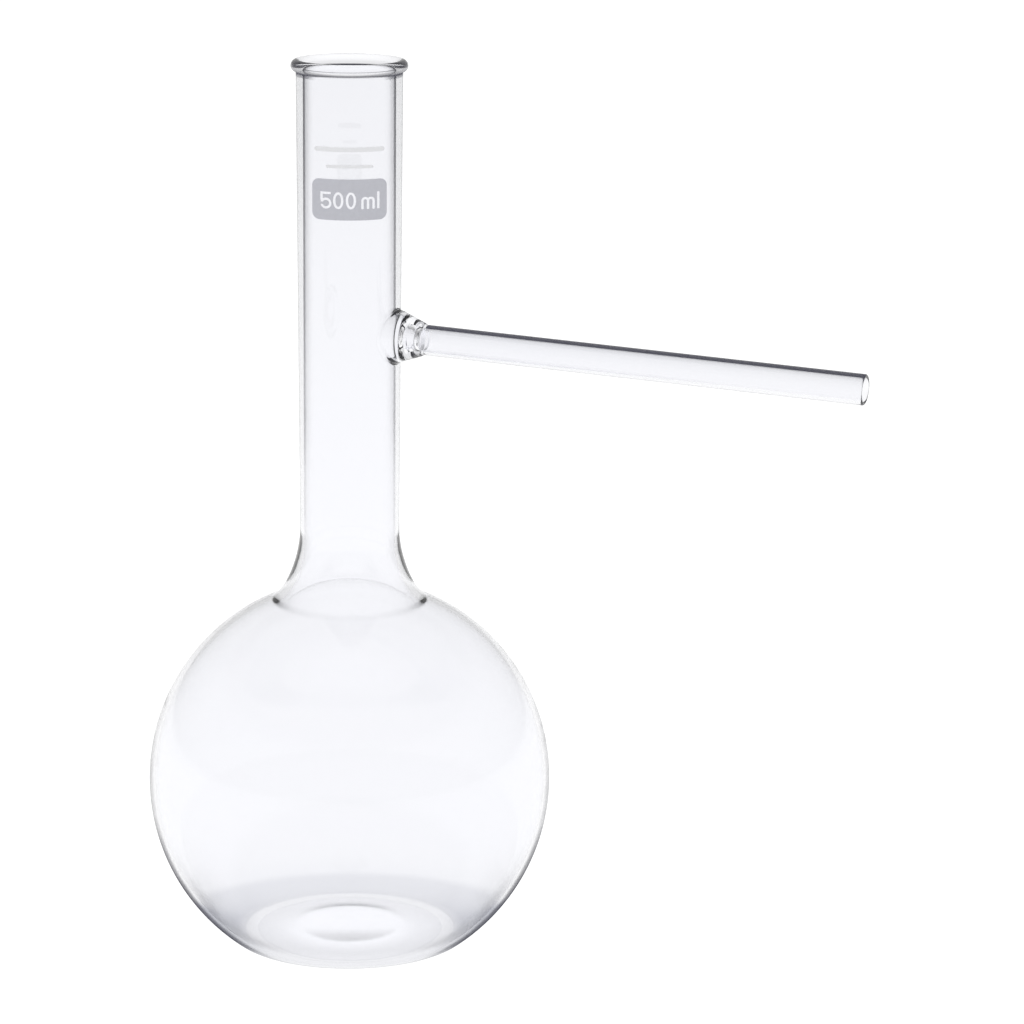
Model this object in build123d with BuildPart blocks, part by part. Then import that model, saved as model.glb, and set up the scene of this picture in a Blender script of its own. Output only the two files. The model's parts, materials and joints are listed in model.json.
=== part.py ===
from build123d import *
import os
from math import acos, atan2, cos, degrees, radians, sin, sqrt

# Side-arm distilling flask, 500 ml, borosilicate glass. Millimetres and degrees.
# The origin is the middle of the foot, +Z runs up the neck and the side arm lies over +X.

# Bulb
BULB_RADIUS = 52.5
BULB_WALL = 1.5
BULB_CENTRE_HEIGHT = 43.2
HEEL_RADIUS = 6.0
FOOT_INNER_RADIUS = 24.5
PUNT_RADIUS = 13.9
PUNT_HEIGHT = 0.9
PUNT_BLEND = 2.5
FLOOR_HEIGHT = 3.1

# Neck
BORE_RADIUS = 11.8
SHOULDER_RADIUS = 20.8
SHOULDER_TOP = 109.8
SHOULDER_LOWER_PULL = 4.9
SHOULDER_UPPER_PULL = 6.0
INNER_SHOULDER_RADIUS = 19.2
INNER_SHOULDER_TOP = 108.6
INNER_LOWER_PULL = 6.2
NECK_BOTTOM = 115.8
NECK_BOTTOM_RADIUS = 12.9
NECK_TOP = 227.8
NECK_TOP_RADIUS = 13.6

# Rim
BEAD_SECTION_RADIUS = 1.55
BEAD_CENTRE_HEIGHT = 230.4
BEAD_CREASE_RADIUS = 0.5

# Side arm, measured along its own axis from the neck's axis
ARM_HEIGHT = 162.1
ARM_DROP_ANGLE = 2.1
ARM_RADIUS = 3.9
ARM_BORE_RADIUS = 2.9
ARM_END = 137.0
ARM_LIP_RADIUS = 0.45
COLLAR_END = 21.2
COLLAR_FOOT = 11.0
COLLAR_FOOT_RADIUS = 7.6
COLLAR_FOOT_PULL = 4.0
COLLAR_END_PULL = 2.6
COLLAR_ROOT = 7.0
CUP_ROOT_RADIUS = 5.6
CUP_END = 15.0
CUP_END_RADIUS = 4.8
THROAT_START = 15.7
THROAT_START_RADIUS = 2.4
THROAT_END = 18.3
THROAT_RADIUS = 2.05
THROAT_FLARE_END = 20.5

# Enamel print, facing the front of the flask, which is turned from -Y towards the arm
PRINT_TURN = 22.4
ENAMEL_THICKNESS = 0.1
PATCH_HEIGHT = 198.0
PATCH_SIZE = (18.8, 10.4)
PATCH_CORNER = 1.8
FIGURE_DROP = 0.2
FIGURE_STROKE = 0.6
FIGURE_HEIGHT = 4.3
DIGIT_WIDTH = 2.6
DIGIT_CENTRES = (-5.95, -2.85, 0.35)
FIVE_BOWL_RADIUS = 1.4
M_LEFT = 2.95
M_HEIGHT = 3.1
M_ARCH_RADIUS = 1.0
L_CENTRE = 7.25
RULES = ((210.7, 17.6, 1.2), (206.4, 12.0, 0.8))


def neck_radius(height):
    """Outer radius of the neck tube, which widens a little towards the rim."""
    share = (height - NECK_BOTTOM) / (NECK_TOP - NECK_BOTTOM)
    return NECK_BOTTOM_RADIUS + share * (NECK_TOP_RADIUS - NECK_BOTTOM_RADIUS)


def body_line(radius, heel, neck, shoulder_radius, shoulder_top, lower_pull):
    """Heel, sphere, shoulder and neck stub of the body at one surface of its wall."""
    heel_reach = sqrt((BULB_RADIUS - HEEL_RADIUS) ** 2 - (BULB_CENTRE_HEIGHT - HEEL_RADIUS) ** 2)
    heel_angle = degrees(atan2(HEEL_RADIUS - BULB_CENTRE_HEIGHT, heel_reach))
    top_angle = degrees(acos(shoulder_radius / radius))
    CenterArc((heel_reach, HEEL_RADIUS), heel, -90, 90 + heel_angle)
    ball = CenterArc((0, BULB_CENTRE_HEIGHT), radius, heel_angle, top_angle - heel_angle)
    start = ball @ 1
    shoulder_end = Vector(neck, shoulder_top)
    lower = start + (ball % 1) * lower_pull
    upper = shoulder_end - Vector(0, SHOULDER_UPPER_PULL)
    Bezier(start, lower, upper, shoulder_end)
    Line(shoulder_end, (neck, NECK_BOTTOM))
    return heel_reach


def arm_frame():
    """Plane through the arm's axis: x runs out along the arm and y up from it."""
    drop = radians(ARM_DROP_ANGLE)
    return Plane((0, 0, ARM_HEIGHT), x_dir=(cos(drop), 0, -sin(drop)), z_dir=(0, -1, 0))


def print_frame(height):
    """Plane on the neck's axis that looks out of the printed side of the neck."""
    turn = radians(PRINT_TURN)
    return Plane((0, 0, height), x_dir=(cos(turn), sin(turn), 0), z_dir=(sin(turn), -cos(turn), 0))


def enamel_ring(low, high):
    """Section of an enamel layer on the outside of the neck between two heights."""
    inner = [(neck_radius(low), low), (neck_radius(high), high)]
    outer = [(neck_radius(high) + ENAMEL_THICKNESS, high), (neck_radius(low) + ENAMEL_THICKNESS, low)]
    Polyline(*inner, *outer, close=True)


arm_plane = arm_frame()
arm_axis = Axis(arm_plane.origin, arm_plane.x_dir)

# The blown bulb, up to the weld with the neck
with BuildPart() as bulb:
    with BuildSketch(Plane.XZ):
        with BuildLine():
            heel_reach = body_line(
                BULB_RADIUS, HEEL_RADIUS, NECK_BOTTOM_RADIUS,
                SHOULDER_RADIUS, SHOULDER_TOP, SHOULDER_LOWER_PULL,
            )
            Line((NECK_BOTTOM_RADIUS, NECK_BOTTOM), (BORE_RADIUS, NECK_BOTTOM))
            body_line(
                BULB_RADIUS - BULB_WALL, HEEL_RADIUS - BULB_WALL, BORE_RADIUS,
                INNER_SHOULDER_RADIUS, INNER_SHOULDER_TOP, INNER_LOWER_PULL,
            )
            TangentArc((0, FLOOR_HEIGHT), (heel_reach, BULB_WALL), tangent=(1, 0))
            Line((0, FLOOR_HEIGHT), (0, PUNT_HEIGHT))
            bend = Vector(PUNT_RADIUS, PUNT_HEIGHT)
            bend_start = bend - Vector(PUNT_BLEND, 0)
            slope = PUNT_HEIGHT / (FOOT_INNER_RADIUS - PUNT_RADIUS)
            bend_end = bend + Vector(PUNT_BLEND, -PUNT_BLEND * slope)
            Line((0, PUNT_HEIGHT), bend_start)
            Bezier(bend_start, bend, bend, bend_end)
            Line(bend_end, (FOOT_INNER_RADIUS, 0))
            Line((FOOT_INNER_RADIUS, 0), (heel_reach, 0))
        make_face()
    revolve(axis=Axis.Z)
bulb.part.label = "bulb"

# The flare of the collar as a solid cone, which is also the hole that the neck gets for it
with BuildPart() as flare:
    with BuildSketch(arm_plane):
        with BuildLine():
            foot = Vector(COLLAR_FOOT, COLLAR_FOOT_RADIUS)
            end = Vector(COLLAR_END, ARM_RADIUS)
            Bezier(foot, foot + Vector(COLLAR_FOOT_PULL, 0), end - Vector(COLLAR_END_PULL, 0), end)
            Polyline(end, (COLLAR_END, 0), (COLLAR_ROOT, 0), (COLLAR_ROOT, COLLAR_FOOT_RADIUS), foot)
        make_face()
    revolve(axis=arm_axis)

# The neck tube with the hole for the side arm
with BuildPart() as neck_tube:
    with BuildSketch(Plane.XZ):
        with BuildLine():
            Polyline(
                (BORE_RADIUS, NECK_BOTTOM),
                (NECK_BOTTOM_RADIUS, NECK_BOTTOM),
                (NECK_TOP_RADIUS, NECK_TOP),
                (BORE_RADIUS, NECK_TOP),
                close=True,
            )
        make_face()
    revolve(axis=Axis.Z)
    add(flare.part, mode=Mode.SUBTRACT)
neck_tube.part.label = "neck_tube"

# The fire-polished bead round the mouth
with BuildPart() as rim_bead:
    with BuildSketch(Plane.XZ):
        with BuildLine():
            Polyline(
                (BORE_RADIUS, NECK_TOP),
                (NECK_TOP_RADIUS, NECK_TOP),
                (NECK_TOP_RADIUS, BEAD_CENTRE_HEIGHT),
                (BORE_RADIUS, BEAD_CENTRE_HEIGHT),
                close=True,
            )
        make_face()
        with Locations((BORE_RADIUS + BEAD_SECTION_RADIUS, BEAD_CENTRE_HEIGHT)):
            Circle(BEAD_SECTION_RADIUS)
    revolve(axis=Axis.Z)
    crease = edges().filter_by(GeomType.CIRCLE).filter_by(
        lambda edge: abs(edge.radius - NECK_TOP_RADIUS) < 0.01 and edge.center().Z > NECK_TOP + 0.5
    )
    fillet(crease, radius=BEAD_CREASE_RADIUS)
rim_bead.part.label = "rim_bead"

# The collar: the flare, hollowed by a cup and a narrow throat, and cut to the bore of the neck
with BuildPart() as side_arm_collar:
    add(flare.part)
    with BuildSketch(arm_plane):
        with BuildLine():
            Polyline(
                (COLLAR_ROOT, 0),
                (COLLAR_ROOT, CUP_ROOT_RADIUS),
                (CUP_END, CUP_END_RADIUS),
                (THROAT_START, THROAT_START_RADIUS),
                (THROAT_END, THROAT_RADIUS),
                (THROAT_FLARE_END, ARM_BORE_RADIUS),
                (COLLAR_END, ARM_BORE_RADIUS),
                (COLLAR_END, 0),
                close=True,
            )
        make_face()
    revolve(axis=arm_axis, mode=Mode.SUBTRACT)
    with BuildSketch(Plane.XY.offset(NECK_BOTTOM)):
        Circle(BORE_RADIUS)
    extrude(amount=NECK_TOP - NECK_BOTTOM, mode=Mode.SUBTRACT)
side_arm_collar.part.label = "side_arm_collar"

# The straight side arm with its rounded open end
with BuildPart() as side_arm_tube:
    with BuildSketch(arm_plane):
        with BuildLine():
            Polyline(
                (COLLAR_END, ARM_BORE_RADIUS),
                (COLLAR_END, ARM_RADIUS),
                (ARM_END, ARM_RADIUS),
                (ARM_END, ARM_BORE_RADIUS),
                close=True,
            )
        make_face()
        fillet(vertices().sort_by(Axis(arm_plane.origin, arm_plane.x_dir))[-2:], radius=ARM_LIP_RADIUS)
    revolve(axis=arm_axis)
side_arm_tube.part.label = "side_arm_tube"

# The figures 500 ml in strokes of one width: round strokes first, then the straight ones
with BuildSketch(print_frame(PATCH_HEIGHT - FIGURE_DROP)) as figures:
    with Locations(*[(centre, 0) for centre in DIGIT_CENTRES[1:]]):
        Ellipse(DIGIT_WIDTH / 2, FIGURE_HEIGHT / 2)
        Ellipse(DIGIT_WIDTH / 2 - FIGURE_STROKE, FIGURE_HEIGHT / 2 - FIGURE_STROKE, mode=Mode.SUBTRACT)
    with Locations((DIGIT_CENTRES[0], FIVE_BOWL_RADIUS - FIGURE_HEIGHT / 2)):
        Circle(FIVE_BOWL_RADIUS)
        Circle(FIVE_BOWL_RADIUS - FIGURE_STROKE, mode=Mode.SUBTRACT)
    five_left = DIGIT_CENTRES[0] - FIVE_BOWL_RADIUS
    with Locations((five_left, FIVE_BOWL_RADIUS - FIGURE_HEIGHT / 2)):
        Rectangle(FIVE_BOWL_RADIUS, FIGURE_STROKE, mode=Mode.SUBTRACT)
    with Locations((five_left, FIGURE_HEIGHT / 2)):
        Rectangle(DIGIT_WIDTH, FIGURE_STROKE, align=(Align.MIN, Align.MAX))
        Rectangle(FIGURE_STROKE, FIGURE_HEIGHT / 2, align=(Align.MIN, Align.MAX))
    arch_height = M_HEIGHT - M_ARCH_RADIUS - FIGURE_HEIGHT / 2
    arch_pitch = 2 * M_ARCH_RADIUS - FIGURE_STROKE
    with Locations(*[(M_LEFT + M_ARCH_RADIUS + arch * arch_pitch, arch_height) for arch in range(2)]):
        Circle(M_ARCH_RADIUS)
        Circle(M_ARCH_RADIUS - FIGURE_STROKE, mode=Mode.SUBTRACT)
    m_width = 2 * arch_pitch + FIGURE_STROKE
    with Locations((M_LEFT, arch_height)):
        Rectangle(m_width, M_ARCH_RADIUS, align=(Align.MIN, Align.MAX), mode=Mode.SUBTRACT)
    with Locations(*[(M_LEFT + leg * arch_pitch, -FIGURE_HEIGHT / 2) for leg in range(3)]):
        Rectangle(FIGURE_STROKE, M_HEIGHT - M_ARCH_RADIUS, align=(Align.MIN, Align.MIN))
    with Locations((L_CENTRE, 0)):
        Rectangle(FIGURE_STROKE, FIGURE_HEIGHT)

# The enamel patch with the figures left clear
with BuildPart() as capacity_patch:
    with BuildSketch(Plane.XZ):
        with BuildLine():
            enamel_ring(PATCH_HEIGHT - PATCH_SIZE[1], PATCH_HEIGHT + PATCH_SIZE[1])
        make_face()
    revolve(axis=Axis.Z)
    with BuildSketch(print_frame(PATCH_HEIGHT)):
        RectangleRounded(*PATCH_SIZE, PATCH_CORNER)
    extrude(amount=2 * NECK_TOP_RADIUS, mode=Mode.INTERSECT)
    extrude(figures.sketch, amount=2 * NECK_TOP_RADIUS, mode=Mode.SUBTRACT)
capacity_patch.part.label = "capacity_patch"

# Two plain printed bars above the patch
with BuildPart() as marking_rules:
    with BuildSketch(Plane.XZ):
        with BuildLine():
            enamel_ring(RULES[1][0] - RULES[1][2], RULES[0][0] + RULES[0][2])
        make_face()
    revolve(axis=Axis.Z)
    with BuildSketch(print_frame(0)):
        for height, width, thickness in RULES:
            with Locations((0, height)):
                SlotOverall(width, thickness)
    extrude(amount=2 * NECK_TOP_RADIUS, mode=Mode.INTERSECT)
marking_rules.part.label = "marking_rules"

os.makedirs("parts", exist_ok=True)
for piece in (bulb, neck_tube, rim_bead, side_arm_collar, side_arm_tube, capacity_patch, marking_rules):
    export_step(piece.part, f"parts/{piece.part.label}.step")
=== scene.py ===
import json
from math import acos, asin, atan2, cos, degrees, pi, radians, sin, sqrt

import bmesh
import bpy
from mathutils import Matrix, Quaternion, Vector

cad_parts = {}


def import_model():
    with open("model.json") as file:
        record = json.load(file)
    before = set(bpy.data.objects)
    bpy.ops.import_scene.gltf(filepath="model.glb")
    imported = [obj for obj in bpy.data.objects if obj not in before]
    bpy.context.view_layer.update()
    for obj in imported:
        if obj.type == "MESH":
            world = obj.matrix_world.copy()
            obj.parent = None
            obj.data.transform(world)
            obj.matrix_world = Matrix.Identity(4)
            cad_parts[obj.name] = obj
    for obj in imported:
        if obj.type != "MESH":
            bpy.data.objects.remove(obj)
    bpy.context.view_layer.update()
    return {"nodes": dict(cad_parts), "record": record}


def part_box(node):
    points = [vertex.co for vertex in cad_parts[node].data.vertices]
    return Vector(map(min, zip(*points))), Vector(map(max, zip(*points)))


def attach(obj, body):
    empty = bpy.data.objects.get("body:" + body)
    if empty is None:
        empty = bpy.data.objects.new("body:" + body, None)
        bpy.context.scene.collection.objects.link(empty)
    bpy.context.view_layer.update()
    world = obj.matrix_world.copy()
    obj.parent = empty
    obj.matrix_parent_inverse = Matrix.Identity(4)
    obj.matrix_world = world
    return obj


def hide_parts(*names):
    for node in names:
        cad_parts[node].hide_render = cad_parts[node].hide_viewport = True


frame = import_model()

MM = 0.001

# Material slots of a glass piece; the last is for the faces hidden in a weld
OUTSIDE, INSIDE, WELD = 0, 1, 2

mounts = {mount["name"]: mount for mount in frame["record"]["mounts"]}

# Sizes that the frame gives
BULB_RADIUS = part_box("bulb")[1].x
NECK_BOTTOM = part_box("neck_tube")[0].z
NECK_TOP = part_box("neck_tube")[1].z
NECK_TOP_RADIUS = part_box("neck_tube")[1].x
BORE_RADIUS = mounts["neck_bore"]["dims"]["r_mm"] * MM
BEAD_RADIUS = (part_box("rim_bead")[1].x - BORE_RADIUS) / 2
BEAD_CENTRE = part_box("rim_bead")[1].z - BEAD_RADIUS
ARM_AXIS = Vector(mounts["side_arm_outside"]["axis"]).normalized()
ARM_RADIUS = mounts["side_arm_outside"]["dims"]["r_mm"] * MM
ARM_BORE_RADIUS = mounts["side_arm_bore"]["dims"]["r_mm"] * MM
ARM_POINT = Vector(mounts["side_arm_outside"]["pos_m"])
ARM_ORIGIN = ARM_POINT - ARM_AXIS * (ARM_POINT.x / ARM_AXIS.x)
ARM_UP = Vector((-ARM_AXIS.z, 0, ARM_AXIS.x))

# Sizes that repeat the CAD source, in metres
BULB_WALL = 1.5 * MM
BULB_CENTRE = 43.2 * MM
HEEL_RADIUS = 6.0 * MM
FOOT_INNER_RADIUS = 24.5 * MM
PUNT_RADIUS = 13.9 * MM
PUNT_HEIGHT = 0.9 * MM
PUNT_BLEND = 2.5 * MM
FLOOR_HEIGHT = 3.1 * MM
SHOULDER_RADIUS = 20.8 * MM
SHOULDER_TOP = 109.8 * MM
SHOULDER_LOWER_PULL = 4.9 * MM
SHOULDER_UPPER_PULL = 6.0 * MM
INNER_SHOULDER_RADIUS = 19.2 * MM
INNER_SHOULDER_TOP = 108.6 * MM
INNER_LOWER_PULL = 6.2 * MM
NECK_BOTTOM_RADIUS = 12.9 * MM
BEAD_CREASE_RADIUS = 0.5 * MM
ARM_END = 137.0 * MM
ARM_LIP = 0.45 * MM
COLLAR_FOOT = 11.0 * MM
COLLAR_END = 21.2 * MM
CUP_END = 15.0 * MM
THROAT_START = 15.7 * MM
THROAT_START_RADIUS = 2.4 * MM
THROAT_END = 18.3 * MM
THROAT_RADIUS = 2.05 * MM
THROAT_FLARE_END = 20.5 * MM

# The visible weld: its outer edge on the neck, a small fillet there, and the cup's edge in the bore
WELD_RADIUS = 7.5 * MM
WELD_FILLET = 0.6 * MM
BOSS_RADIUS = 6.9 * MM
BOSS_SIDE_END = 13.0 * MM
BOSS_END = 15.0 * MM
BOSS_END_RADIUS = 6.35 * MM
CONE_END = 20.2 * MM
CONE_END_RADIUS = 4.35 * MM
CUP_RADIUS = 6.5 * MM
CUP_WALL_RADIUS = 5.75 * MM
CUP_WALL_START = 12.8 * MM
CUP_STEP_RADIUS = 4.2 * MM
CUP_STEP_DEPTH = 0.35 * MM
CUP_PULL = 0.9 * MM

# How finely the meshes are divided
SEGMENTS = 256
ARM_SEGMENTS = 128
WELD_STEPS = 128
CONE_STEPS = 36

# Points nearer than these are one point; edges sharper than this angle aren't smoothed
MERGE_DISTANCE = 1e-7
SAME_CORNER = 1e-8
SHARP_ANGLE = 32

# The patch of the neck's surface round the weld's hole, and the steps of the surface round it
PATCH_HALF_ANGLE = radians(48)
PATCH_HALF_HEIGHT = 11.5 * MM
PATCH_RINGS = 12
AROUND_STEPS = 88
BELOW_STEPS = 24
ABOVE_STEPS = 40

# The camera, by where it stands round the flask
CAMERA_AZIMUTH = 22.4
CAMERA_DISTANCE = 1.023
CAMERA_HEIGHT = 0.3478
CAMERA_AIM_ASIDE = 42.1 * MM
CAMERA_AIM_HEIGHT = 114.5 * MM
CAMERA_ROLL = 0.49
CAMERA_LENS = 142.2

# Glass, with faint rings of uneven thickness that vary its tint and its relief
GLASS_IOR = 1.474
GLASS_TINT = (0.938, 0.941, 0.964, 1)
GLASS_TINT_THIN = (0.951, 0.953, 0.969, 1)
GLASS_SHADOW = (0.93, 0.935, 0.95, 1)
STRIAE_SCALE = (14, 14, 90)
STRIAE_DEPTH = 0.06 * MM

# Painted shade on the glass where it is seen edge on: a dark colour mixed over the glass by an edge ramp
# times an amount ramp, as (place, value). An edge is by the surface's reflectance, and on the rim by how
# far it turns away. An amount is by height / EDGE_HEIGHT_SPAN, and on the arm and its collar by height
# across the arm, so the painted shade is stronger at some heights than at others.
PAINTED_EDGE_SHADE = (0.05, 0.05, 0.075, 1)
EDGE_HEIGHT_SPAN = 0.24
UPRIGHT = (Vector((0, 0, 1)), 0, EDGE_HEIGHT_SPAN)
OUTSIDE_EDGE = ((0.28, 0.0), (0.45, 0.6), (0.7, 1.0), (0.97, 1.0), (1.0, 0.1))
OUTSIDE_AMOUNT = (
    (0.0, 0.35), (0.02, 0.95), (0.07, 0.95), (0.1, 0.75), (0.15, 0.3), (0.3, 0.03), (0.5, 0.12),
    (0.945, 0.25),
)
INSIDE_EDGE = ((0.045, 0.0), (0.14, 0.22), (0.3, 0.9), (0.96, 1.0), (1.0, 0.22))
INSIDE_AMOUNT = (
    (0.02, 0.0), (0.035, 0.4), (0.05, 0.35), (0.07, 0.1), (0.1, 0.0), (0.42, 0.02), (0.5, 0.15),
    (0.6, 0.4), (0.75, 0.6), (0.9, 0.8), (0.97, 0.9),
)
RIM_EDGE = ((0.2, 0.0), (0.4, 0.9), (0.9, 1.0))
RIM_AMOUNT = ((0.0, 0.02), (0.948, 0.1), (0.951, 0.85), (0.955, 0.85), (0.959, 0.02))
ARM_AMOUNT = ((0.0, 0.15), (0.6, 0.2), (0.9, 0.35))
ARM_INSIDE_EDGE = ((0.045, 0.0), (0.14, 0.15), (0.4, 0.35), (0.9, 0.6), (0.99, 1.0))
ARM_INSIDE_AMOUNT = ((0.1, 0.04), (0.5, 0.12), (0.81, 0.35), (0.85, 0.97))
COLLAR_AMOUNT = ((0.0, 0.0), (0.5, 0.02), (0.9, 0.3), (1.0, 0.5))
COLLAR_INSIDE_EDGE = ((0.1, 0.0), (0.4, 0.6), (0.96, 0.9), (1.0, 0.0))

# Enamel: the patch, the paler bars above it, and the mottling and grain of both
PATCH_GREY = (0.57, 0.575, 0.625, 1)
RULES_GREY = (0.86, 0.865, 0.885, 1)
ENAMEL_SPECULAR = 0.3
ENAMEL_ROUGHNESS = (0.35, 0.5)
ENAMEL_MOTTLE = 0.06
GRAIN_SCALE = 900
GRAIN_STRENGTH = 0.15
GRAIN_DEPTH = 0.02 * MM

# The studio. The floor glows, and seen through the glass it has a shadow round the foot and a light spot
# under it, both by distance / SHADOW_SPAN. The shadow is strongest on both sides of the foot along
# SHADOW_TURN, a fixed direction that lies across the main view, and SHADOW_BEHIND of that before and
# behind it. The sky's brightness is by the sine of its height.
PAPER_WHITE = 0.15
FLOOR_GLOW = 0.89
SHADOW_SPAN = 0.2
SHADOW_RING = ((0.0, 0.0), (0.13, 0.0), (0.16, 0.7), (0.225, 0.7), (0.26, 0.0))
SHADOW_TURN = 22.4
SHADOW_SIDES = 6.0
SHADOW_BEHIND = 0.25
SHADOW_TINT = (0.32, 0.335, 0.4, 1)
FOCUS_GLOW = 0.2
FOCUS_SPOT = ((0.0, 1.0), (0.06, 1.0), (0.1, 0.3), (0.13, 0.0))
SKY = ((0.0, 0.93), (0.04, 0.88), (0.42, 0.85), (0.6, 0.5), (0.97, 0.45))
SKY_REFLECTED = ((0.0, 0.95), (0.04, 0.6), (0.6, 0.5), (0.9, 0.6))
FLOOR_SIZE = 8
SOFTBOX_SIZE = 0.9
SOFTBOX_POWER = 22
SOFTBOX_HEIGHT = 1.6
LIGHT_BOUNCES = 32

# Sockets of a colour mix node
MIX_FACTOR, MIX_FIRST, MIX_SECOND, MIX_RESULT = 0, 6, 7, 2


# ---------------------------------------------------------------- profiles: lists of (radius, height)

def arc(centre, radius, start, end, steps):
    """Points on a circle from start to end, in degrees from the radius direction."""
    turns = [radians(start + (end - start) * i / steps) for i in range(steps + 1)]
    return [(centre[0] + radius * cos(t), centre[1] + radius * sin(t)) for t in turns]


def bezier(a, b, c, d, steps):
    """Points on a cubic Bezier curve from a to d."""
    points = []
    for i in range(steps + 1):
        t = i / steps
        weights = ((1 - t) ** 3, 3 * t * (1 - t) ** 2, 3 * t * t * (1 - t), t ** 3)
        points.append(tuple(sum(w * p[k] for w, p in zip(weights, (a, b, c, d))) for k in range(2)))
    return points


def line(a, b, steps):
    """Evenly spaced points on a straight line from a to b."""
    return [tuple(a[k] + (b[k] - a[k]) * i / steps for k in range(2)) for i in range(steps + 1)]


def shifted(point, radius, height):
    """A point moved by a radius and a height that are given in millimetres."""
    return point[0] + radius * MM, point[1] + height * MM


def chain(*runs):
    """Runs of points joined end to end, without the points that two runs share."""
    points = list(runs[0])
    for run in runs[1:]:
        points += run[1:]
    return points


def body_profile(radius, heel, neck, shoulder, top, lower_pull):
    """Heel, ball, shoulder and neck stub of the blown body, at one surface of its wall."""
    reach = sqrt((BULB_RADIUS - HEEL_RADIUS) ** 2 - (BULB_CENTRE - HEEL_RADIUS) ** 2)
    heel_end = degrees(atan2(HEEL_RADIUS - BULB_CENTRE, reach))
    ball_end = degrees(acos(shoulder / radius))
    ball = arc((0, BULB_CENTRE), radius, heel_end, ball_end, 150)
    start = ball[-1]
    tangent = (-sin(radians(ball_end)), cos(radians(ball_end)))
    lower = tuple(start[k] + lower_pull * tangent[k] for k in range(2))
    flare = bezier(start, lower, (neck, top - SHOULDER_UPPER_PULL), (neck, top), 40)
    stub = line((neck, top), (neck, NECK_BOTTOM), 4)
    return chain(arc((reach, HEEL_RADIUS), heel, -90, heel_end, 32), ball, flare, stub)


def under_profile(edge):
    """The underside from its middle to the heel: a raised middle, a slope and the foot ring."""
    bend = (PUNT_RADIUS, PUNT_HEIGHT)
    bend_start = (PUNT_RADIUS - PUNT_BLEND, PUNT_HEIGHT)
    slope = PUNT_HEIGHT / (FOOT_INNER_RADIUS - PUNT_RADIUS)
    bend_end = (PUNT_RADIUS + PUNT_BLEND, PUNT_HEIGHT - slope * PUNT_BLEND)
    foot = (FOOT_INNER_RADIUS, 0)
    return chain(
        line((0, PUNT_HEIGHT), bend_start, 10),
        bezier(bend_start, bend, bend, bend_end, 12),
        line(bend_end, foot, 8),
        line(foot, edge, 4),
    )


def floor_profile(edge):
    """The inner floor: an arc that is level in the middle and ends at the inner heel."""
    drop = FLOOR_HEIGHT - edge[1]
    radius = (edge[0] ** 2 + drop ** 2) / (2 * drop)
    spread = degrees(asin(edge[0] / radius))
    return arc((0, FLOOR_HEIGHT - radius), radius, 90, 90 - spread, 24)


def collar_profile():
    """The outside of the weld beyond its fillet, as (radius, distance along the arm)."""
    side_end = (BOSS_RADIUS, BOSS_SIDE_END)
    boss_end = (BOSS_END_RADIUS, BOSS_END)
    cone_end = (CONE_END_RADIUS, CONE_END)
    arm_start = (ARM_RADIUS, COLLAR_END)
    return chain(
        line((BOSS_RADIUS, COLLAR_FOOT), side_end, 40),
        bezier(side_end, shifted(side_end, 0, 1), shifted(boss_end, 0.15, -0.5), boss_end, 40),
        line(boss_end, cone_end, 80),
        bezier(cone_end, shifted(cone_end, -0.2, 0.5), shifted(arm_start, 0, -0.5), arm_start, 20),
    )


def cup_profile():
    """The cup, throat and flare inside the weld, as (radius, distance along the arm)."""
    wall = (CUP_WALL_RADIUS, CUP_WALL_START)
    step = (CUP_STEP_RADIUS, CUP_END + CUP_STEP_DEPTH)
    throat = shifted((THROAT_START_RADIUS, THROAT_START), 0, 0.9)
    narrow = (THROAT_RADIUS, THROAT_END)
    bore = (ARM_BORE_RADIUS, THROAT_FLARE_END)
    wall_pull = shifted((CUP_WALL_RADIUS, CUP_END), 0, -0.8)
    step_pull = shifted((CUP_STEP_RADIUS, CUP_END), 1, 0)
    return chain(
        bezier(wall, wall_pull, step_pull, step, 20),
        bezier(step, shifted(step, -1, 0.35), shifted(throat, 0, -0.9), throat, 14),
        bezier(throat, shifted(throat, 0, 0.7), shifted(narrow, 0, -0.9), narrow, 10),
        bezier(narrow, shifted(narrow, 0, 0.8), shifted(bore, 0, -1), bore, 16),
        line(bore, (ARM_BORE_RADIUS, COLLAR_END), 2),
    )


def neck_radius(height):
    """Outer radius of the neck, which widens a little towards the rim."""
    share = (height - NECK_BOTTOM) / (NECK_TOP - NECK_BOTTOM)
    return NECK_BOTTOM_RADIUS + share * (NECK_TOP_RADIUS - NECK_BOTTOM_RADIUS)


def bore_radius(height):
    """Inner radius of the neck, which is the same at every height."""
    return BORE_RADIUS


# ---------------------------------------------------------------- meshes

def piece(name, build):
    """A new smooth mesh object from a function that fills a bmesh."""
    mesh = bpy.data.meshes.new(name)
    bm = bmesh.new()
    build(bm)
    bmesh.ops.remove_doubles(bm, verts=bm.verts, dist=MERGE_DISTANCE)
    bmesh.ops.recalc_face_normals(bm, faces=bm.faces)
    bm.to_mesh(mesh)
    bm.free()
    mesh.shade_smooth()
    mesh.set_sharp_from_angle(angle=radians(SHARP_ANGLE))
    made = bpy.data.objects.new(name, mesh)
    bpy.context.scene.collection.objects.link(made)
    return made


def skin(bm, rows, material=OUTSIDE, closed=True):
    """Quads between rows of points of equal length; each row closes on itself if closed."""
    made = [[bm.verts.new(point) for point in row] for row in rows]
    count = len(rows[0])
    for lower, upper in zip(made, made[1:]):
        for i in range(count if closed else count - 1):
            j = (i + 1) % count
            corners = []
            for vert in (lower[i], lower[j], upper[j], upper[i]):
                if all((vert.co - other.co).length > SAME_CORNER for other in corners):
                    corners.append(vert)
            if len(corners) > 2:
                bm.faces.new(corners).material_index = material


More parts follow.
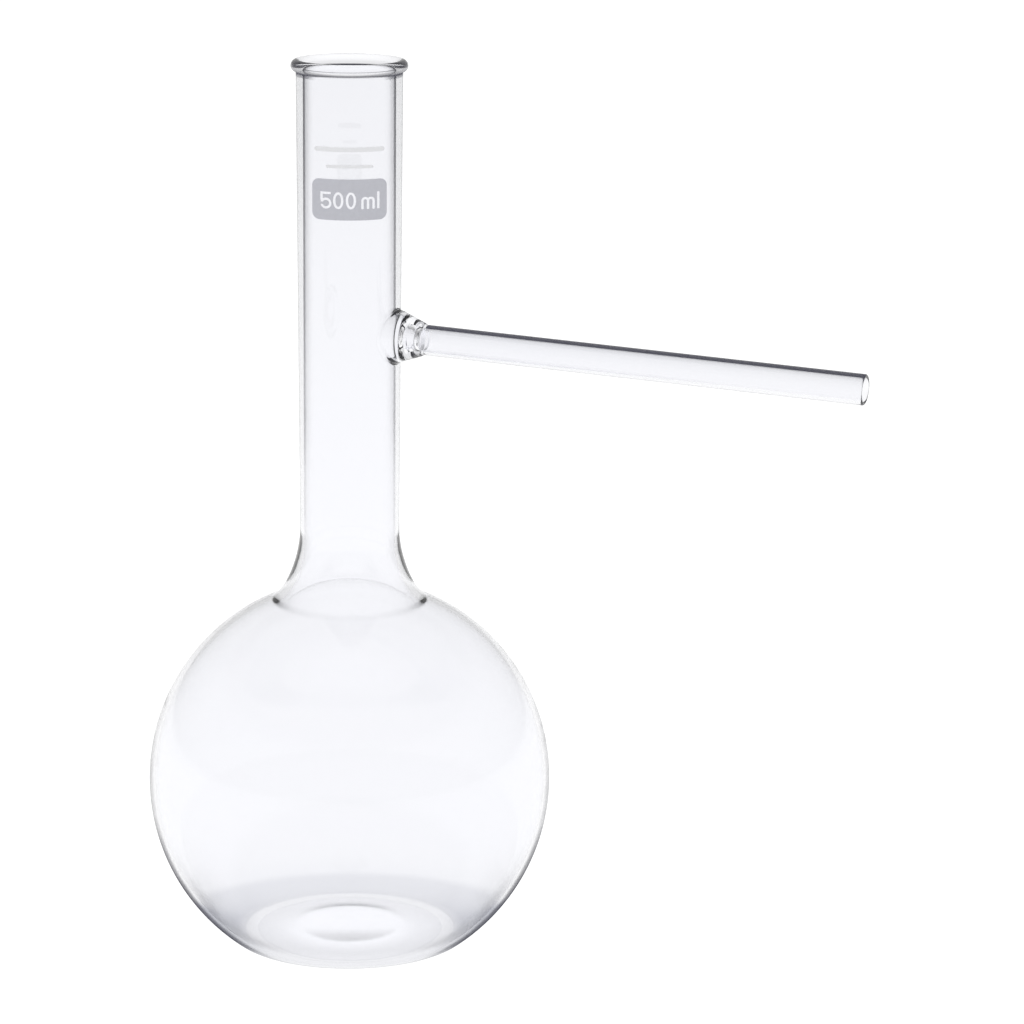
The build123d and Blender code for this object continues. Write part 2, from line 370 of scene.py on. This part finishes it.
def turned(bm, profile, material=OUTSIDE, segments=SEGMENTS, place=Matrix.Identity(4)):
    """A profile turned round the local Z axis."""
    angles = [2 * pi * i / segments for i in range(segments)]
    rows = []
    for radius, height in profile:
        rows.append([place @ Vector((radius * cos(a), radius * sin(a), height)) for a in angles])
    skin(bm, rows, material)


def bulb_mesh(bm):
    """The blown body, open at the top, with its wall, floor and pushed-up bottom."""
    outer = body_profile(BULB_RADIUS, HEEL_RADIUS, NECK_BOTTOM_RADIUS,
                         SHOULDER_RADIUS, SHOULDER_TOP, SHOULDER_LOWER_PULL)
    inner = body_profile(BULB_RADIUS - BULB_WALL, HEEL_RADIUS - BULB_WALL, BORE_RADIUS,
                         INNER_SHOULDER_RADIUS, INNER_SHOULDER_TOP, INNER_LOWER_PULL)
    turned(bm, chain(under_profile(outer[0]), outer))
    turned(bm, [outer[-1], inner[-1]], WELD)
    turned(bm, chain(floor_profile(inner[0]), inner), INSIDE)


def round_arm(turn, radius, along):
    """The point at a turn and radius round the arm's axis, and a distance along it."""
    across = ARM_UP * cos(turn) + Vector((0, sin(turn), 0))
    return ARM_ORIGIN + ARM_AXIS * along + across * radius


def on_neck(neck, radius, turn):
    """The point of a neck surface at a radius and turn round the arm's axis."""
    out = sqrt(neck ** 2 - (radius * sin(turn)) ** 2)
    along = (out - radius * cos(turn) * ARM_UP.x) / ARM_AXIS.x
    return round_arm(turn, radius, along)


def weld_turns():
    """Turns round the arm's axis, from the top of the arm."""
    return [2 * pi * i / WELD_STEPS for i in range(WELD_STEPS)]


def weld_ring(radius_at, radius):
    """Points where a round hole about the arm's axis meets a neck surface, found in a few passes."""
    points = []
    for turn in weld_turns():
        height = ARM_ORIGIN.z
        for _ in range(4):
            point = on_neck(radius_at(height), radius, turn)
            height = point.z
        points.append(point)
    return points


def evenly(start, end, count):
    """Evenly spaced values from start to end."""
    return [start + (end - start) * i / count for i in range(count + 1)]


def patch_angles():
    """Angles round the neck across the patch, and round the rest of the neck."""
    across = evenly(-PATCH_HALF_ANGLE, PATCH_HALF_ANGLE, WELD_STEPS // 4)
    around = evenly(PATCH_HALF_ANGLE, 2 * pi - PATCH_HALF_ANGLE, AROUND_STEPS)
    return across, around


def patch_edge():
    """Angle and height of the patch's edge, from its middle, for each turn of the weld."""
    quarter = WELD_STEPS // 4
    places = []
    for i in range(WELD_STEPS):
        side, step = divmod((i + quarter // 2) % WELD_STEPS, quarter)
        share = 2 * step / quarter - 1
        places.append((
            (share * PATCH_HALF_ANGLE, PATCH_HALF_HEIGHT),
            (PATCH_HALF_ANGLE, -share * PATCH_HALF_HEIGHT),
            (-share * PATCH_HALF_ANGLE, -PATCH_HALF_HEIGHT),
            (-PATCH_HALF_ANGLE, share * PATCH_HALF_HEIGHT),
        )[side])
    return places


def patch_rows(surface, hole, middle):
    """Rings of points on a neck surface from the hole out to the edge of the patch."""
    rows = []
    for ring in range(PATCH_RINGS + 1):
        share = ring / PATCH_RINGS
        row = []
        for point, (angle, height) in zip(hole, patch_edge()):
            start = atan2(point.y, point.x)
            mixed = start + share * (angle - start)
            row.append(surface(mixed, point.z + share * (middle + height - point.z)))
        rows.append(row)
    return rows


def pierced_tube(bm, radius_at, hole, material):
    """The neck's outer or inner surface with a hole in it: the patch, and the tube round that."""
    middle = sum(point.z for point in hole) / len(hole)

    def surface(angle, height):
        return Vector((radius_at(height) * cos(angle), radius_at(height) * sin(angle), height))

    skin(bm, patch_rows(surface, hole, middle), material)
    across, around = patch_angles()
    beside = evenly(middle - PATCH_HALF_HEIGHT, middle + PATCH_HALF_HEIGHT, WELD_STEPS // 4)
    below = evenly(NECK_BOTTOM, beside[0], BELOW_STEPS)
    above = evenly(beside[-1], NECK_TOP, ABOVE_STEPS)
    for heights, angles in ((below, across), (above, across), (below, around),
                            (beside, around), (above, around)):
        skin(bm, [[surface(a, z) for a in angles] for z in heights], material, closed=False)


def neck_mesh(bm):
    """The neck tube with the weld's hole in its wall, closed by hidden faces where it is welded."""
    outer_hole = weld_ring(neck_radius, WELD_RADIUS)
    inner_hole = weld_ring(bore_radius, CUP_RADIUS)
    pierced_tube(bm, neck_radius, outer_hole, OUTSIDE)
    pierced_tube(bm, bore_radius, inner_hole, INSIDE)
    skin(bm, [outer_hole, inner_hole], WELD)
    across, around = patch_angles()
    end_angles = across[:-1] + around[:-1]
    for height in (NECK_BOTTOM, NECK_TOP):
        rows = []
        for radius in (neck_radius(height), BORE_RADIUS):
            rows.append([Vector((radius * cos(a), radius * sin(a), height)) for a in end_angles])
        skin(bm, rows, WELD)


def rim_mesh(bm):
    """The bead of the mouth, with a small crease where it leaves the neck."""
    centre = (BORE_RADIUS + BEAD_RADIUS, BEAD_CENTRE)
    crease_x = NECK_TOP_RADIUS + BEAD_CREASE_RADIUS
    reach = BEAD_RADIUS + BEAD_CREASE_RADIUS
    crease_z = BEAD_CENTRE - sqrt(reach ** 2 - (crease_x - centre[0]) ** 2)
    meet = degrees(atan2(crease_z - centre[1], crease_x - centre[0]))
    crease = arc((crease_x, crease_z), BEAD_CREASE_RADIUS, 180, 180 + meet, 12)
    bead = arc(centre, BEAD_RADIUS, meet, 180, 72)
    turned(bm, chain(line((NECK_TOP_RADIUS, NECK_TOP), crease[0], 2), crease, bead))
    turned(bm, line(bead[-1], (BORE_RADIUS, NECK_TOP), 8), INSIDE)
    turned(bm, [(NECK_TOP_RADIUS, NECK_TOP), (BORE_RADIUS, NECK_TOP)], WELD)


def arm_place():
    """Local Z out along the arm, local X up, from the neck's axis."""
    aside = ARM_AXIS.cross(ARM_UP)
    columns = (ARM_UP, aside, ARM_AXIS)
    return Matrix.Translation(ARM_ORIGIN) @ Matrix(columns).transposed().to_4x4()


def foot(point, turn, radius):
    """Distance along the arm of a neck point, and how that distance falls as the radius grows."""
    along = (point - ARM_ORIGIN).dot(ARM_AXIS)
    return along, radius * sin(turn) ** 2 / along


def outer_curve(point, turn, profile):
    """From the weld's edge on the neck, over a small fillet, to the end of the cone."""
    along, slope = foot(point, turn, WELD_RADIUS)
    reach = 0.6 * WELD_FILLET
    pull = (WELD_RADIUS - reach, along + slope * reach)
    rest = [place for place in profile if place[1] > along + WELD_FILLET]
    lead = (rest[0][0] + 0.1 * WELD_FILLET, rest[0][1] - 0.5 * WELD_FILLET)
    spaced = [rest[round(i * (len(rest) - 1) / CONE_STEPS)] for i in range(CONE_STEPS + 1)]
    return chain(bezier((WELD_RADIUS, along), pull, lead, rest[0], 10), spaced)


def inner_curve(point, turn, profile):
    """From the cup's edge in the bore, over a rounded lip, to the end of the throat."""
    along, slope = foot(point, turn, CUP_RADIUS)
    pull = (CUP_RADIUS - CUP_PULL, along + slope * CUP_PULL)
    lead = shifted((CUP_WALL_RADIUS, CUP_WALL_START), 0, -0.5)
    return chain(bezier((CUP_RADIUS, along), pull, lead, profile[0], 12), profile)


def collar_mesh(bm):
    """The weld of the arm: a boss and cone outside, a cup and throat inside, turn by turn."""
    cone, cup = collar_profile(), cup_profile()
    outer, inner = [], []
    for turn, low, high in zip(weld_turns(), weld_ring(neck_radius, WELD_RADIUS),
                               weld_ring(bore_radius, CUP_RADIUS)):
        outer.append([round_arm(turn, *place) for place in outer_curve(low, turn, cone)])
        inner.append([round_arm(turn, *place) for place in inner_curve(high, turn, cup)])
    outer, inner = list(zip(*outer)), list(zip(*inner))
    skin(bm, outer)
    skin(bm, inner, INSIDE)
    skin(bm, [outer[0], inner[0]], WELD)
    skin(bm, [outer[-1], inner[-1]], WELD)


def arm_mesh(bm):
    """The straight arm with its rounded lip, from the collar to its open end."""
    lip_height = ARM_END - ARM_LIP
    lip_outer = arc((ARM_RADIUS - ARM_LIP, lip_height), ARM_LIP, 0, 90, 10)
    lip_inner = arc((ARM_BORE_RADIUS + ARM_LIP, lip_height), ARM_LIP, 90, 180, 10)
    outer_start = (ARM_RADIUS, COLLAR_END)
    inner_start = (ARM_BORE_RADIUS, COLLAR_END)
    outer = chain(line(outer_start, lip_outer[0], 60), lip_outer, [lip_outer[-1]] + lip_inner)
    turned(bm, outer, OUTSIDE, ARM_SEGMENTS, arm_place())
    turned(bm, line(lip_inner[-1], inner_start, 60), INSIDE, ARM_SEGMENTS, arm_place())
    turned(bm, [inner_start, outer_start], WELD, ARM_SEGMENTS, arm_place())


# ---------------------------------------------------------------- materials

def material(name):
    """A new, empty node material, with its nodes and links."""
    made = bpy.data.materials.new(name)
    made.use_nodes = True
    nodes = made.node_tree.nodes
    nodes.clear()
    return made, nodes, made.node_tree.links


def ramp(nodes, stops):
    """A smooth colour ramp in greys from (place, value) stops."""
    made = nodes.new("ShaderNodeValToRGB")
    made.color_ramp.interpolation = "EASE"
    elements = made.color_ramp.elements
    while len(elements) < len(stops):
        elements.new(0.5)
    for element, (place, value) in zip(elements, stops):
        element.position = place
        element.color = (value, value, value, 1)
    return made


def colour_mix(nodes, first, second):
    """A node that mixes two colours."""
    made = nodes.new("ShaderNodeMix")
    made.data_type = "RGBA"
    made.inputs[MIX_FIRST].default_value = first
    made.inputs[MIX_SECOND].default_value = second
    return made


def striae(nodes, links, place):
    """Faint rings of uneven thickness, as a blown body turned in its mould has."""
    stretch = nodes.new("ShaderNodeVectorMath")
    stretch.operation = "MULTIPLY"
    stretch.inputs[1].default_value = STRIAE_SCALE
    noise = nodes.new("ShaderNodeTexNoise")
    noise.inputs["Scale"].default_value = 1.0
    noise.inputs["Detail"].default_value = 2.0
    links.new(place.outputs["Position"], stretch.inputs[0])
    links.new(stretch.outputs[0], noise.inputs["Vector"])
    return noise.outputs[0]


def clear_glass(nodes, links, place):
    """Clear, faintly tinted glass, whose tint and relief follow the striae."""
    shader = nodes.new("ShaderNodeBsdfPrincipled")
    shader.inputs["Roughness"].default_value = 0.0
    shader.inputs["IOR"].default_value = GLASS_IOR
    shader.inputs["Transmission Weight"].default_value = 1.0
    wave = striae(nodes, links, place)
    tint = colour_mix(nodes, GLASS_TINT, GLASS_TINT_THIN)
    relief = nodes.new("ShaderNodeBump")
    relief.inputs["Distance"].default_value = STRIAE_DEPTH
    links.new(wave, tint.inputs[MIX_FACTOR])
    links.new(tint.outputs[MIX_RESULT], shader.inputs["Base Color"])
    links.new(wave, relief.inputs["Height"])
    links.new(relief.outputs[0], shader.inputs["Normal"])
    return shader.outputs[0]


def edge_on_share(nodes, links, stops, by_facing):
    """How far the surface is seen edge on: by its reflectance, or by how far it turns away."""
    edge = ramp(nodes, stops)
    if by_facing:
        turned_away = nodes.new("ShaderNodeLayerWeight")
        links.new(turned_away.outputs["Facing"], edge.inputs[0])
    else:
        reflectance = nodes.new("ShaderNodeFresnel")
        reflectance.inputs["IOR"].default_value = GLASS_IOR
        links.new(reflectance.outputs[0], edge.inputs[0])
    return edge.outputs[0]


def amount_at(nodes, links, place, stops, span):
    """A ramp along a direction, between two distances from the origin."""
    direction, low, high = span
    along = nodes.new("ShaderNodeVectorMath")
    along.operation = "DOT_PRODUCT"
    along.inputs[1].default_value = direction
    share = nodes.new("ShaderNodeMapRange")
    share.inputs["From Min"].default_value = low
    share.inputs["From Max"].default_value = high
    amount = ramp(nodes, stops)
    links.new(place.outputs["Position"], along.inputs[0])
    links.new(along.outputs["Value"], share.inputs["Value"])
    links.new(share.outputs[0], amount.inputs[0])
    return amount.outputs[0]


def glass_material(name, edges, amounts, span=UPRIGHT, by_facing=False):
    """Clear glass with painted shade where it is seen edge on, and casts only a faint shadow."""
    made, nodes, links = material(name)
    out = nodes.new("ShaderNodeOutputMaterial")
    place = nodes.new("ShaderNodeNewGeometry")
    # Painted edge shade: a dark diffuse mixed over the glass where it is seen edge on, by height
    dark = nodes.new("ShaderNodeBsdfDiffuse")
    dark.inputs["Color"].default_value = PAINTED_EDGE_SHADE
    darkness = nodes.new("ShaderNodeMath")
    darkness.operation = "MULTIPLY"
    links.new(edge_on_share(nodes, links, edges, by_facing), darkness.inputs[0])
    links.new(amount_at(nodes, links, place, amounts, span), darkness.inputs[1])
    edged = nodes.new("ShaderNodeMixShader")
    links.new(darkness.outputs[0], edged.inputs[0])
    links.new(clear_glass(nodes, links, place), edged.inputs[1])
    links.new(dark.outputs[0], edged.inputs[2])
    path = nodes.new("ShaderNodeLightPath")
    shadow = nodes.new("ShaderNodeBsdfTransparent")
    shadow.inputs["Color"].default_value = GLASS_SHADOW
    whole = nodes.new("ShaderNodeMixShader")
    links.new(path.outputs["Is Shadow Ray"], whole.inputs[0])
    links.new(edged.outputs[0], whole.inputs[1])
    links.new(shadow.outputs[0], whole.inputs[2])
    links.new(whole.outputs[0], out.inputs["Surface"])
    return made


def weld_material():
    """For the hidden faces inside a weld: light goes on as in one piece of glass."""
    made, nodes, links = material("inside_weld")
    out = nodes.new("ShaderNodeOutputMaterial")
    clear = nodes.new("ShaderNodeBsdfTransparent")
    links.new(clear.outputs[0], out.inputs["Surface"])
    return made


def enamel_material(name, colour):
    """Fired enamel: semi-gloss, with the faint mottling and grain of a screen print."""
    made, nodes, links = material(name)
    out = nodes.new("ShaderNodeOutputMaterial")
    shader = nodes.new("ShaderNodeBsdfPrincipled")
    shader.inputs["Specular IOR Level"].default_value = ENAMEL_SPECULAR
    place = nodes.new("ShaderNodeNewGeometry")
    mottle = nodes.new("ShaderNodeTexNoise")
    mottle.inputs["Scale"].default_value = GRAIN_SCALE
    mottle.inputs["Detail"].default_value = 4
    darker = tuple((1 - ENAMEL_MOTTLE) * part for part in colour[:3]) + (1,)
    lighter = tuple(min(1.0, (1 + ENAMEL_MOTTLE) * part) for part in colour[:3]) + (1,)
    tone = colour_mix(nodes, darker, lighter)
    gloss = nodes.new("ShaderNodeMapRange")
    gloss.inputs["To Min"].default_value, gloss.inputs["To Max"].default_value = ENAMEL_ROUGHNESS
    grain = nodes.new("ShaderNodeBump")
    grain.inputs["Strength"].default_value = GRAIN_STRENGTH
    grain.inputs["Distance"].default_value = GRAIN_DEPTH
    links.new(place.outputs["Position"], mottle.inputs["Vector"])
    links.new(mottle.outputs[0], tone.inputs[MIX_FACTOR])
    links.new(mottle.outputs[0], gloss.inputs["Value"])
    links.new(mottle.outputs[0], grain.inputs["Height"])
    links.new(tone.outputs[MIX_RESULT], shader.inputs["Base Color"])
    links.new(gloss.outputs[0], shader.inputs["Roughness"])
    links.new(grain.outputs[0], shader.inputs["Normal"])
    links.new(shader.outputs[0], out.inputs["Surface"])
    return made


def glass_finishes():
    """The outside and inside materials of each glass piece."""
    inside = glass_material("glass_inside", INSIDE_EDGE, INSIDE_AMOUNT)
    body = (glass_material("glass_outside", OUTSIDE_EDGE, OUTSIDE_AMOUNT), inside)
    rim = (glass_material("glass_rim", RIM_EDGE, RIM_AMOUNT, by_facing=True), inside)
    middle = ARM_ORIGIN.dot(ARM_UP)
    across = (ARM_UP, middle - ARM_RADIUS, middle + ARM_RADIUS)
    arm = (glass_material("glass_arm_outside", OUTSIDE_EDGE, ARM_AMOUNT, across),
           glass_material("glass_arm_inside", ARM_INSIDE_EDGE, ARM_INSIDE_AMOUNT, across))
    collar = (glass_material("glass_collar_outside", OUTSIDE_EDGE, COLLAR_AMOUNT, across),
              glass_material("glass_collar_inside", COLLAR_INSIDE_EDGE, COLLAR_AMOUNT, across))
    return {"bulb": body, "neck_tube": body, "rim_bead": rim,
            "side_arm_collar": collar, "side_arm_tube": arm}


finishes = glass_finishes()
weld = weld_material()

for node, build in (("bulb", bulb_mesh), ("neck_tube", neck_mesh), ("rim_bead", rim_mesh),
                    ("side_arm_collar", collar_mesh), ("side_arm_tube", arm_mesh)):
    made = piece(node + "_glass", build)
    for finish in finishes[node] + (weld,):
        made.data.materials.append(finish)
    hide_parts(node)
    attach(made, "root")

for node, colour in (("capacity_patch", PATCH_GREY), ("marking_rules", RULES_GREY)):
    printed = frame["nodes"][node]
    printed.data.materials.clear()
    printed.data.materials.append(enamel_material("enamel_" + node, colour))


# ---------------------------------------------------------------- stage, light and camera

def calculated(nodes, links, operation, first, second):
    """A maths node of two values, each a number or another node's output."""
    made = nodes.new("ShaderNodeMath")
    made.operation = operation
    for socket, value in zip(made.inputs, (first, second)):
        if isinstance(value, (int, float)):
            socket.default_value = value
        else:
            links.new(value, socket)
    return made.outputs[0]


def shadow_side(nodes, links, place, distance):
    """How strong the shadow is by direction: full along SHADOW_TURN on both sides of the foot."""
    turn = radians(SHADOW_TURN)
    aside = nodes.new("ShaderNodeVectorMath")
    aside.operation = "DOT_PRODUCT"
    aside.inputs[1].default_value = (cos(turn), sin(turn), 0)
    links.new(place.outputs["Position"], aside.inputs[0])
    length = calculated(nodes, links, "MAXIMUM", distance, 1 * MM)
    side = calculated(nodes, links, "DIVIDE", aside.outputs["Value"], length)
    side = calculated(nodes, links, "ABSOLUTE", side, 0)
    side = calculated(nodes, links, "POWER", side, SHADOW_SIDES)
    side = calculated(nodes, links, "MULTIPLY", side, 1 - SHADOW_BEHIND)
    return calculated(nodes, links, "ADD", side, SHADOW_BEHIND)


def paper_glow(nodes, links):
    """Light from the paper: even to the camera, with the shadow and the light spot to all else."""
    place = nodes.new("ShaderNodeNewGeometry")
    away = nodes.new("ShaderNodeVectorMath")
    away.operation = "LENGTH"
    links.new(place.outputs["Position"], away.inputs[0])
    distance = away.outputs["Value"]
    share = calculated(nodes, links, "DIVIDE", distance, SHADOW_SPAN)
    ring = ramp(nodes, SHADOW_RING)
    spot = ramp(nodes, FOCUS_SPOT)
    links.new(share, ring.inputs[0])
    links.new(share, spot.inputs[0])
    seen = nodes.new("ShaderNodeLightPath").outputs["Is Camera Ray"]
    unseen = calculated(nodes, links, "SUBTRACT", 1, seen)
    side = shadow_side(nodes, links, place, distance)
    shade = calculated(nodes, links, "MULTIPLY", ring.outputs[0], side)
    tint = colour_mix(nodes, (1, 1, 1, 1), SHADOW_TINT)
    links.new(calculated(nodes, links, "MULTIPLY", shade, unseen), tint.inputs[MIX_FACTOR])
    lit = calculated(nodes, links, "MULTIPLY", spot.outputs[0], FOCUS_GLOW)
    lit = calculated(nodes, links, "ADD", lit, FLOOR_GLOW)
    lit = calculated(nodes, links, "MULTIPLY", lit, unseen)
    glow = nodes.new("ShaderNodeEmission")
    links.new(tint.outputs[MIX_RESULT], glow.inputs["Color"])
    links.new(calculated(nodes, links, "ADD", lit, seen), glow.inputs["Strength"])
    return glow.outputs[0]


def floor():
    """White paper, bright by itself."""
    bpy.ops.mesh.primitive_plane_add(size=FLOOR_SIZE)
    made = bpy.context.object
    made.name = "floor"
    paint, nodes, links = material("white_paper")
    out = nodes.new("ShaderNodeOutputMaterial")
    paper = nodes.new("ShaderNodeBsdfDiffuse")
    paper.inputs["Color"].default_value = (PAPER_WHITE, PAPER_WHITE, PAPER_WHITE, 1)
    both = nodes.new("ShaderNodeAddShader")
    links.new(paper.outputs[0], both.inputs[0])
    links.new(paper_glow(nodes, links), both.inputs[1])
    links.new(both.outputs[0], out.inputs["Surface"])
    made.data.materials.append(paint)


def world():
    """A sky bright at the horizon and dimmer overhead, brighter low down to light through glass."""
    made = bpy.data.worlds.new("studio")
    bpy.context.scene.world = made
    made.use_nodes = True
    nodes, links = made.node_tree.nodes, made.node_tree.links
    direction = nodes.new("ShaderNodeTexCoord")
    split = nodes.new("ShaderNodeSeparateXYZ")
    path = nodes.new("ShaderNodeLightPath")
    both = colour_mix(nodes, (0, 0, 0, 1), (0, 0, 0, 1))
    links.new(direction.outputs["Generated"], split.inputs[0])
    links.new(path.outputs["Is Transmission Ray"], both.inputs[MIX_FACTOR])
    for stops, socket in ((SKY_REFLECTED, MIX_FIRST), (SKY, MIX_SECOND)):
        shade = ramp(nodes, stops)
        links.new(split.outputs["Z"], shade.inputs[0])
        links.new(shade.outputs[0], both.inputs[socket])
    links.new(both.outputs[MIX_RESULT], nodes["Background"].inputs["Color"])


def soft_light():
    """A round lamp overhead, which lights surfaces but isn't itself seen in the glass."""
    data = bpy.data.lights.new("softbox", "AREA")
    data.shape = "DISK"
    data.size = SOFTBOX_SIZE
    data.energy = SOFTBOX_POWER
    made = bpy.data.objects.new("softbox", data)
    made.location = (0, 0, SOFTBOX_HEIGHT)
    made.visible_glossy = False
    made.visible_transmission = False
    bpy.context.scene.collection.objects.link(made)


def camera():
    """The camera, placed and aimed by turning it round the flask's axis."""
    turn = radians(CAMERA_AZIMUTH)
    data = bpy.data.cameras.new("camera")
    data.lens = CAMERA_LENS
    made = bpy.data.objects.new("camera", data)
    bpy.context.scene.collection.objects.link(made)
    place = Vector((CAMERA_DISTANCE * sin(turn), -CAMERA_DISTANCE * cos(turn), CAMERA_HEIGHT))
    aim = Vector((CAMERA_AIM_ASIDE * cos(turn), CAMERA_AIM_ASIDE * sin(turn), CAMERA_AIM_HEIGHT))
    made.location = place
    made.rotation_mode = "QUATERNION"
    look = (aim - place).to_track_quat("-Z", "Y")
    made.rotation_quaternion = look @ Quaternion((0, 0, 1), radians(CAMERA_ROLL))
    bpy.context.scene.camera = made


floor()
world()
soft_light()
camera()
scene = bpy.context.scene
scene.view_settings.view_transform = "Standard"
scene.cycles.max_bounces = LIGHT_BOUNCES
scene.cycles.transmission_bounces = LIGHT_BOUNCES
scene.cycles.transparent_max_bounces = LIGHT_BOUNCES
scene.cycles.caustics_refractive = False
scene.cycles.caustics_reflective = False
